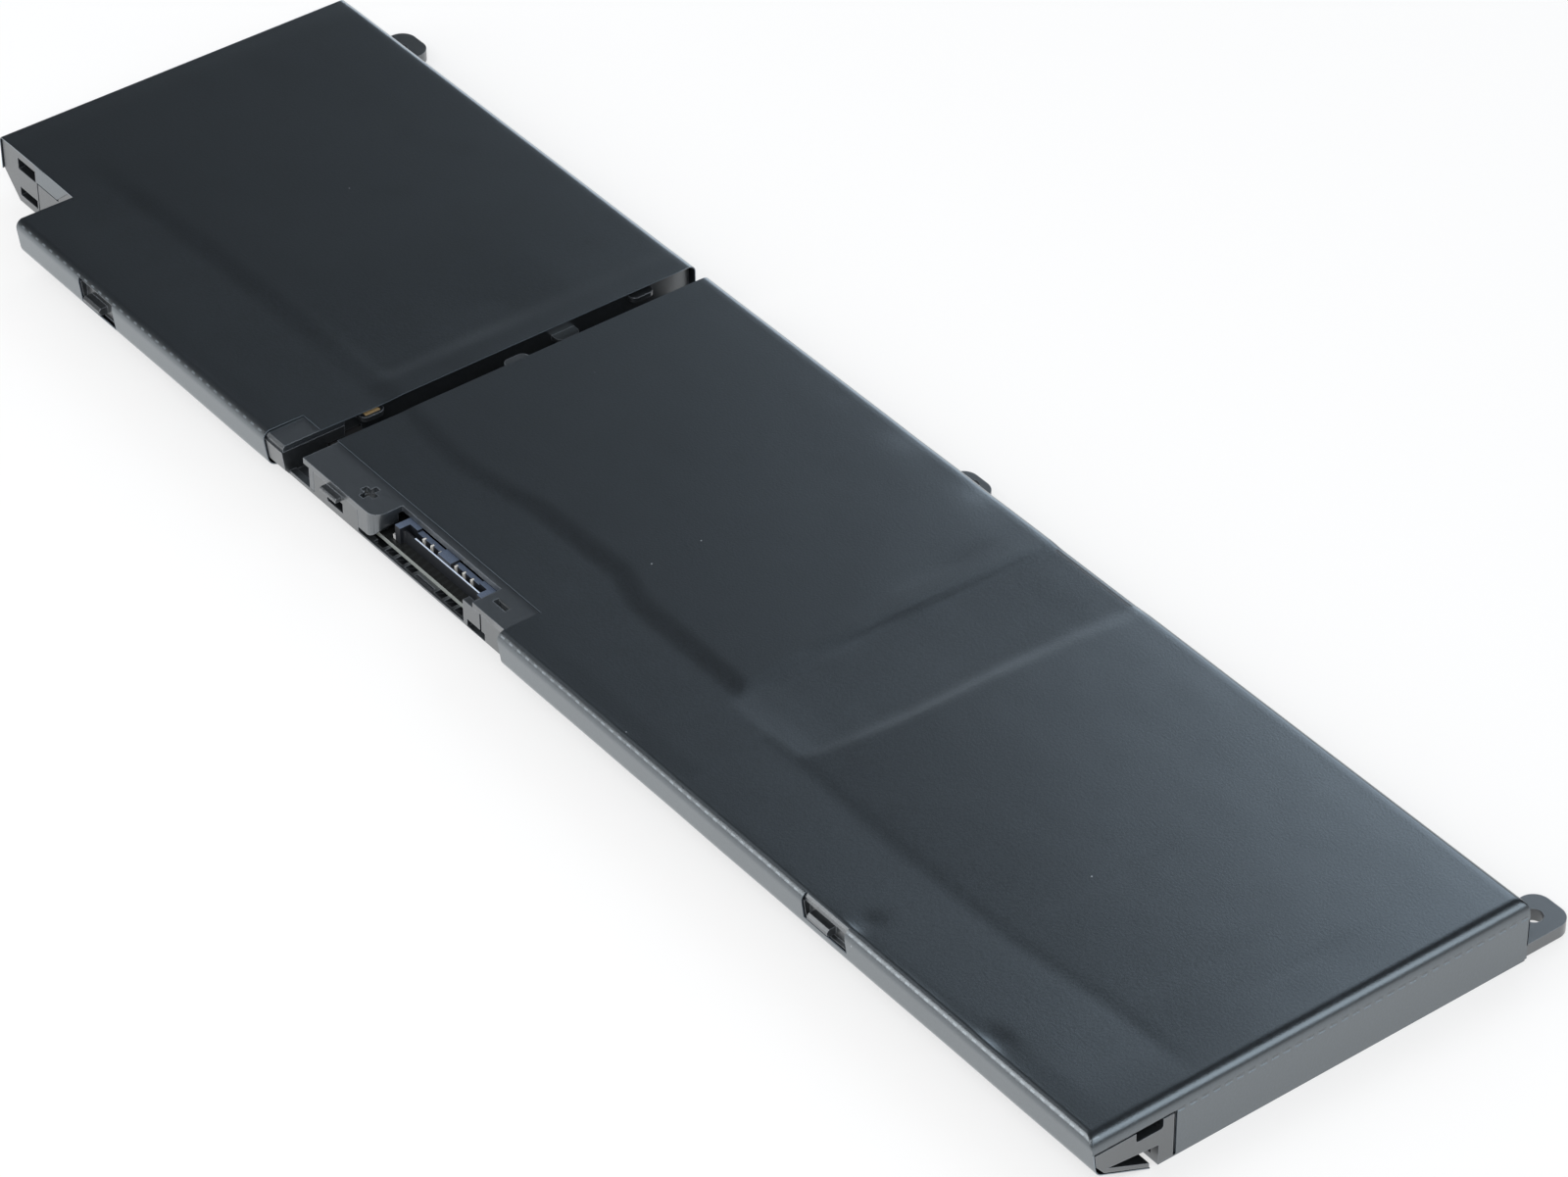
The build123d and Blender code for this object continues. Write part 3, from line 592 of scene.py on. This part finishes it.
relief = {
    "fieldEnds": (97, 192),
    "valleys": (  # x, y along the front of each field
        ((16, 16.2), (31, 16.9), (50, 17.7), (68, 18.0), (96, 18.2)),
        ((99, 18.8), (113, 17.6), (122, 18.5), (130, 20.2), (150, 20.8), (157, 18.5), (182, 18.5)),
        ((202, 16.2), (222, 15.8), (245, 16.3), (263, 18.4), (279, 19.0)),
    ),
    "valleyDepth": (  # x, depth
        *((14, 0), (30, 0.22), (95, 0.22), (99, 0.14), (128, 0.2)),
        *((137, 0.26), (182, 0.26), (202, 0.26), (272, 0.22), (280, 0)),
    ),
    "valleyRise": (  # share of the sharp rise behind it, its width, the width of the slow one
        (0.8, 4.5, 20),
        (1.0, 3.4, 20),
        (0.13, 2.5, 45),
    ),
    "valleyFront": 13.5,
    "fold": ((14, 181.6), (45, 181.8), (76, 183.0)),  # y, x
    "foldHalf": ((22, 1.4), (33, 2.4), (41, 1.5), (70, 1.3)),
    "ridge": ((14, 199.2), (20, 199.4), (35, 200.1), (50, 200.1), (65, 200.8), (74, 201.8)),
    "ridgeHalf": 2.2,
    "pocketDepth": (  # y, depth
        *((15, 0), (18, 0.28), (21, 0.39), (25, 0.47), (32, 0.55)),
        *((40, 0.59), (48, 0.59), (56, 0.55), (66, 0.45), (76, 0.3)),
    ),
    "slotHollow": {"x": (60, 86, 88.3, 92.3), "y": (18, 24, 42, 60), "depth": 0.24, "ease": 0.55},
    "farFall": {"reach": 6.5, "depth": 0.12},
    "backFall": {"y": (68.5, 76), "least": 0.02, "swing": 0.03, "fine": 0.09, "level": (5.3, 0.7)},
    "ripples": ((0.05, 3.1, 0.03), (0.17, 8.4, 0.01)),  # closeness, level in the noise, height
    "noseEnd": 1.6,  # no sag at the nose, all of it from here on
    "cover": 0.3,  # deepest sag where something lies under the film
    "free": {"x": (178.8, 180.6, 201.0, 202.8), "y": (16.2, 17.0, 19.6, 21.2)},
    "dents": (  # x, y, half width, half length, depth
        (177.0, 59.0, 1.3, 7.5, 0.12),
        (244.0, 37.0, 1.0, 9.0, 0.05),
        (272.4, 45.0, 1.0, 9.0, 0.07),
        (264.0, 32.0, 1.4, 9.0, 0.05),
        (230.8, 3.6, 1.6, 2.2, 0.15),
        (259.3, 3.1, 2.4, 1.5, 0.12),
        (86.0, 44.0, 3.0, 7.0, 0.06),
        (150.5, 75.2, 4.0, 2.6, 0.09),
        (167.0, 75.4, 3.0, 2.4, 0.1),
    ),
}


def ramp(centre, half, value):
    return step(centre - half, centre + half, value)


def pocket(x, y):  # depth of the open bay between the middle and the right cell
    left = ramp(along(relief["fold"], y), along(relief["foldHalf"], y), x)
    right = 1 - ramp(along(relief["ridge"], y), relief["ridgeHalf"], x)
    return along(relief["pocketDepth"], y) * left * right


def hollow(x, y):  # the left field rises to the slot and falls to the far end
    s, far = relief["slotHollow"], relief["farFall"]
    x0, x1, x2, x3 = s["x"]
    y0, y1, y2, y3 = s["y"]
    across = step(y0, y1, y) * (1 - s["ease"] * step(y2, y3, y))
    down = s["depth"] * across * (1 - step(x2, x3, x)) * step(x0, x1, x)
    return down + far["depth"] * (1 - step(0, far["reach"], x)) ** 2


def uncovered(x, y):  # 1 where nothing lies under the film
    x0, x1, x2, x3 = relief["free"]["x"]
    y0, y1, y2, y3 = relief["free"]["y"]
    channel = step(y0, y1, y) * (1 - step(y2, y3, y))
    return max(channel, step(x0, x1, x) * (1 - step(x2, x3, x)) * step(y0, y1, y))


def sag(x, y):  # how far the film lies below its highest level, in mm
    field = sum(x >= end for end in relief["fieldEnds"])
    line = y - along(relief["valleys"][field], x)
    share, sharp, slow = relief["valleyRise"][field]
    behind = share * (1 - step(0.0, sharp, line)) + (1 - share) * max(1 - line / slow, 0) ** 2
    shape = behind if line > 0 else max(1 + line / relief["valleyFront"], 0)
    down = along(relief["valleyDepth"], x) * shape
    down = max(down, pocket(x, y))
    for dx, dy, width, length, depth in relief["dents"]:
        down += depth * exp(-(((x - dx) / width) ** 2) - ((y - dy) / length) ** 2)
    if field == 0:
        down += hollow(x, y)
    for fine, level, height in relief["ripples"]:
        down += height * (1 + noise.noise(Vector((x * fine, y * fine, level))))
    back = relief["backFall"]
    bulge = 0.5 + 0.5 * noise.noise(Vector((x * back["fine"], *back["level"])))
    down += (back["least"] + back["swing"] * bulge) * step(*back["y"], y)
    down = min(down, relief["cover"] + uncovered(x, y))
    return down * step(0.0, relief["noseEnd"], y)


def filmRows(s, stopsY, stopsZ):  # the section from under the nose, over the top, to the back flap
    back = (s["depth"], s["backLow"])
    top = (0.0, s["height"])
    count = s["foldSteps"]
    nose = corner(s["noseLow"], top, (s["depth"], s["height"]), s["noseRound"], count)
    heel = corner(s["slopeEnd"], s["noseLow"], top, s["slopeRound"], count)
    rear = corner(top, (s["depth"], s["height"]), back, s["backRound"], s["backSteps"])
    start, foot, brow = Vector(s["slopeEnd"]), Vector(heel[-1]), Vector(nose[0])
    rows = [tuple(start.lerp(Vector(heel[0]), k / count)) for k in range(count)] + heel
    low, high = heel[-1][1], nose[0][1]
    lean = spread([low, *sorted(z for z in stopsZ if low < z < high), high], s["noseCell"])
    rows += [tuple(foot.lerp(brow, (z - low) / (high - low))) for z in lean[1:-1]] + nose
    level = spread([nose[-1][0], *stopsY, rear[0][0]], s["cell"])
    rows += [(y, s["height"]) for y in level[1:-1]] + rear
    return rows + [(s["depth"], z) for z in spread([rear[-1][1], s["backLow"]], s["flapCell"])[1:]]


def filmColumns(s, half):  # places along the pack, with the height that the end fold allows
    radius = half["fold"]
    angles = [pi / 2 * k / s["foldSteps"] for k in range(s["foldSteps"] + 1)]
    bend = [(radius * sin(a), s["height"] - radius * (1 - cos(a))) for a in angles]
    down = spread([s["height"] - radius, half["flapLow"]], s["flapCell"])
    folded = bend[1:] + [(radius, z) for z in down[1:]]
    if half["start"] == 0:
        inner = spread([radius, *half["stopsX"], half["end"]], s["cell"])
        return [(radius - d, z) for d, z in reversed(folded)] + [(x, s["height"]) for x in inner]
    bendStart = half["end"] - radius
    inner = spread([half["start"], *half["stopsX"], bendStart], s["cell"])
    return [(x, s["height"]) for x in inner] + [(bendStart + d, z) for d, z in folded]


def foldFilm(name, half, node):
    s = filmShape
    rows = filmRows(s, half["stopsY"], half["stopsZ"])
    columns = filmColumns(s, half)
    lastX, lastY = len(columns) - 1, len(rows) - 1
    bpy.ops.mesh.primitive_grid_add(x_subdivisions=lastX, y_subdivisions=lastY, size=1)
    film = bpy.context.object
    film.name = name
    wobble = s["wobble"]
    fineX, fineZ = wobble["fine"]
    backTop = s["height"] - s["backRound"]
    for vertex in film.data.vertices:
        x, limit = columns[round((vertex.co.x + 0.5) * lastX)]
        y, z = rows[round((vertex.co.y + 0.5) * lastY)]
        if y < wobble["upTo"] and z < s["height"]:  # the nose isn't quite straight
            place = Vector((x * fineX, z * fineZ, wobble["level"]))
            y += wobble["depth"] * (0.5 + 0.5 * noise.noise(place))
        if y > relief["noseEnd"] and z > backTop:  # the back fold follows the sag
            z -= sag(x, y) * (z - backTop) / s["backRound"]
        vertex.co = inFrame(x, y, min(z, limit))
    origin = inFrame(0, 0, 0)
    flapTop = s["height"] - half["fold"]
    slack = 0.01
    least = 1e-9  # faces smaller than this have no sure normal

    def cutAway(face):  # what lies beside the end flap, and the openings
        x, y, z = (face.center - origin) / mm
        nearEnd = min(abs(x - half["start"]), abs(x - half["end"])) < 2 * slack
        if z < flapTop - slack and nearEnd:
            onEnd = abs(face.normal.x) > 0.7 or face.area < least
            if onEnd and (y < half["flapFrom"] or y > s["depth"] - slack):
                return True
        for x0, x1, y0, y1, z0, *z1 in half["gone"]:
            if x0 < x < x1 and y0 < y < y1 and z > z0 and (not z1 or z < z1[0]):
                return True
        return False

    film.data.update()
    selectFaces(film, cutAway)
    bpy.ops.mesh.delete(type="FACE")
    bpy.ops.mesh.select_all(action="SELECT")
    bpy.ops.mesh.remove_doubles(threshold=s["weld"] * mm)
    bpy.ops.mesh.dissolve_degenerate(threshold=s["weld"] * mm)
    bpy.ops.object.mode_set(mode="OBJECT")
    shell = 2 * len(film.data.polygons)
    applyModifier(film, "thickness", "SOLIDIFY", thickness=s["thick"] * mm, offset=-1.0)
    edges = film.data.attributes.new("cutEdgeHighlight", "FLOAT", "FACE")  # Solidify adds the cut edges last
    for face in film.data.polygons:
        edges.data[face.index].value = float(face.index >= shell)
    low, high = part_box(node)
    for vertex in film.data.vertices:  # the sheet stays inside the pack's outline
        vertex.co = [min(max(v, a), b) for v, a, b in zip(vertex.co, low, high)]
    bpy.ops.object.shade_smooth_by_angle(angle=radians(s["smooth"]))
    finishPiece(film, "film", node)
    print(name, "made with", len(film.data.polygons), "faces")


foldFilm("filmLeftSheet", leftHalf, "film_left")
foldFilm("filmRightSheet", rightHalf, "film_right")

# Flap of the left film over the notch face

notchFlap = {
    "front": 10.65,
    "back": 10.9,
    "outline": ((10.5, 10.3), (10.5, 7.05), (16.6, 7.05), (20.3, 10.3)),
    "cuts": 6,
    "smooth": 40,
}
bpy.ops.mesh.primitive_plane_add(size=1)
flap = bpy.context.object
flap.name = "notchFlap"
order = [(-0.5, 0.5), (-0.5, -0.5), (0.5, -0.5), (0.5, 0.5)]
for vertex in flap.data.vertices:
    x, z = notchFlap["outline"][order.index((round(vertex.co.x, 1), round(vertex.co.y, 1)))]
    vertex.co = inFrame(x, notchFlap["front"], z)
selectFaces(flap, lambda face: True)
bpy.ops.mesh.subdivide(number_cuts=notchFlap["cuts"])
bpy.ops.object.mode_set(mode="OBJECT")
flapThick = (notchFlap["back"] - notchFlap["front"]) * mm
applyModifier(flap, "thickness", "SOLIDIFY", thickness=flapThick, offset=-1.0)
bpy.ops.object.shade_smooth_by_angle(angle=radians(notchFlap["smooth"]))
finishPiece(flap, "film")
print("notch flap made")

# Connector cover with its polarity marks cut in

coverMarks = {
    "top": 10.05,
    "depth": 0.95,
    "plus": ((112.15, 4.7, 3.1, 1.05), (112.15, 4.7, 1.05, 3.1)),
    "minus": ((145.4, 4.75, 3.0, 1.1),),
    "weld": 0.005,
    "flatten": 0.5,
    "smooth": 30,
}


def markCutters(bars):  # half of each box stands above the cover
    cutters = []
    for x, y, length, width in bars:
        bpy.ops.mesh.primitive_cube_add(size=1, location=inFrame(x, y, coverMarks["top"]))
        cutter = bpy.context.object
        cutter.scale = (length * mm, width * mm, 2 * coverMarks["depth"] * mm)
        bpy.ops.object.transform_apply(location=True, rotation=True, scale=True)
        cutters.append(cutter)
    return cutters


cover = nodes["connector_cover"].copy()
cover.data = nodes["connector_cover"].data.copy()
for key in list(cover.keys()):
    del cover[key]
cover.parent = None
cover.name = "connectorCoverMarked"
bpy.context.scene.collection.objects.link(cover)
selectFaces(cover, lambda face: True)
bpy.ops.mesh.remove_doubles(threshold=coverMarks["weld"] * mm)
bpy.ops.mesh.dissolve_limited(angle_limit=radians(coverMarks["flatten"]))
bpy.ops.object.mode_set(mode="OBJECT")
for cutter in markCutters(coverMarks["plus"] + coverMarks["minus"]):
    applyModifier(cover, "mark", "BOOLEAN", object=cutter, operation="DIFFERENCE", solver="EXACT")
    bpy.data.objects.remove(cutter)
pickOnly(cover)
bpy.ops.object.shade_smooth_by_angle(angle=radians(coverMarks["smooth"]))
applyModifier(cover, "levelTop", "WEIGHTED_NORMAL", mode="FACE_AREA", weight=100, keep_sharp=True)
finishPiece(cover, "cover_plastic", "connector_cover")
print("cover marked")

# Floor, light and camera

panelTint = (0.78, 0.89, 1.0)
stageSettings = {
    "floor": 6.0,
    "floorDrop": 0.00005,
    "floorColour": (0.93, 0.93, 0.93, 1),
    "lift": 0.62,
    "worldPlain": 0.5,
    "horizon": 0.6,
    "zenith": 0.02,
    "fade": (0.0, 0.34),
    "lamps": (  # name, place, target, roll, width, height, radiance, colour
        ("frontLamp", (-0.25, -0.65, 0.45), (0, 0, 0), 0, 0.5, 0.6, 3.0, (1.0, 1.0, 1.0)),
        ("backPanel", (-0.468, 0.60, 0.347), (-0.468, 0, 0.347), -50, 0.93, 0.45, 1.65, panelTint),
        ("lowPanel", (-1.0, 0.60, 0.165), (-1.0, 0, 0.165), 0, 0.8, 0.33, 0.9, panelTint),
        ("overLamp", (-0.33, -0.07, 0.62), (0.05, -0.04, 0), 0, 0.35, 0.3, 0.5, (0.9, 0.95, 1.0)),
        ("rightPanel", (0.60, 0.35, 0.45), (0.14, 0, 0), 0, 0.35, 0.35, 2.5, (0.84, 0.93, 1.0)),
        ("keyLamp", (0.70, -0.60, 0.90), (0, 0, 0), 0, 0.6, 0.6, 5.0, (1.0, 1.0, 1.0)),
    ),
}


def seenDirectly(tree):  # 1 for rays from the camera, mirrored ones and those through clear parts
    ray = addNode(tree, "ShaderNodeLightPath").outputs
    seen = math(tree, "MAXIMUM", ray["Is Camera Ray"], ray["Is Glossy Ray"])
    return math(tree, "MAXIMUM", seen, ray["Is Transmission Ray"])


def makeFloor(s):
    bpy.ops.mesh.primitive_plane_add(size=s["floor"], location=(0, 0, -s["floorDrop"]))
    floor = bpy.context.object
    floor.name = "floor"
    material = bpy.data.materials.new("paleFloor")
    material.use_nodes = True
    tree = material.node_tree
    tree.nodes.clear()
    lit = addNode(tree, "ShaderNodeBsdfDiffuse", {"Color": s["floorColour"]})
    glow = addNode(tree, "ShaderNodeEmission", {"Color": (1, 1, 1, 1), "Strength": 1.0})
    share = times(tree, seenDirectly(tree), s["lift"])
    mixed = addNode(tree, "ShaderNodeMixShader", {0: share, 1: lit.outputs[0], 2: glow.outputs[0]})
    addNode(tree, "ShaderNodeOutputMaterial", {"Surface": mixed.outputs[0]})
    floor.data.materials.append(material)


def makeWorld(s):
    world = bpy.data.worlds.new("studio")
    bpy.context.scene.world = world
    world.use_nodes = True
    tree = world.node_tree
    tree.nodes.clear()
    up = axes(tree, addNode(tree, "ShaderNodeTexCoord").outputs["Generated"])["Z"]
    low, high = s["fade"]
    levels = {"From Min": low, "From Max": high, "To Min": s["horizon"], "To Max": s["zenith"]}
    smooth = {"interpolation_type": "SMOOTHSTEP"}
    level = addNode(tree, "ShaderNodeMapRange", {"Value": up, **levels}, **smooth).outputs[0]
    links = {"Factor": seenDirectly(tree), 2: s["worldPlain"], 3: level}
    strength = addNode(tree, "ShaderNodeMix", links).outputs[0]
    light = addNode(tree, "ShaderNodeBackground", {"Color": (1, 1, 1, 1), "Strength": strength})
    addNode(tree, "ShaderNodeOutputWorld", {"Surface": light.outputs[0]})


def makeLamps(s):
    for name, place, target, roll, width, height, radiance, colour in s["lamps"]:
        bpy.ops.object.light_add(type="AREA", location=place)
        lamp = bpy.context.object
        lamp.name = name
        lamp.data.shape = "RECTANGLE"
        lamp.data.size = width
        lamp.data.size_y = height
        lamp.data.energy = radiance * pi * width * height
        lamp.data.color = colour
        lamp.visible_camera = False
        aim = (Vector(target) - Vector(place)).to_track_quat("-Z", "Y")
        lamp.rotation_euler = (aim @ Quaternion((0, 0, 1), radians(roll))).to_euler()


cameraSettings = {
    "place": (0.563016, -0.410031, 0.541946),
    "yaw": 52.90787,
    "pitch": 38.309936,
    "roll": -0.457878,
    "lens": 138.389,
    "sensor": 36.0,
    "nearest": 0.01,
}


def makeCamera(s):
    yaw, pitch, roll = radians(s["yaw"]), radians(s["pitch"]), radians(s["roll"])
    level = Vector((cos(yaw), sin(yaw), 0))
    ahead = Vector((-sin(yaw) * cos(pitch), cos(yaw) * cos(pitch), -sin(pitch)))
    right = level * cos(roll) + level.cross(ahead) * sin(roll)
    up = right.cross(ahead)
    bpy.ops.object.camera_add()
    camera = bpy.context.object
    camera.name = "photoCamera"
    camera.data.sensor_width = s["sensor"]
    camera.data.sensor_fit = "HORIZONTAL"
    camera.data.lens = s["lens"]
    camera.data.clip_start = s["nearest"]
    turn = Matrix((right, up, -ahead)).transposed().to_4x4()
    camera.matrix_world = Matrix.Translation(s["place"]) @ turn
    bpy.context.scene.camera = camera


makeFloor(stageSettings)
makeWorld(stageSettings)
makeLamps(stageSettings)
makeCamera(cameraSettings)
bpy.context.scene.view_settings.view_transform = "Standard"
print("stage, lamps and camera set")
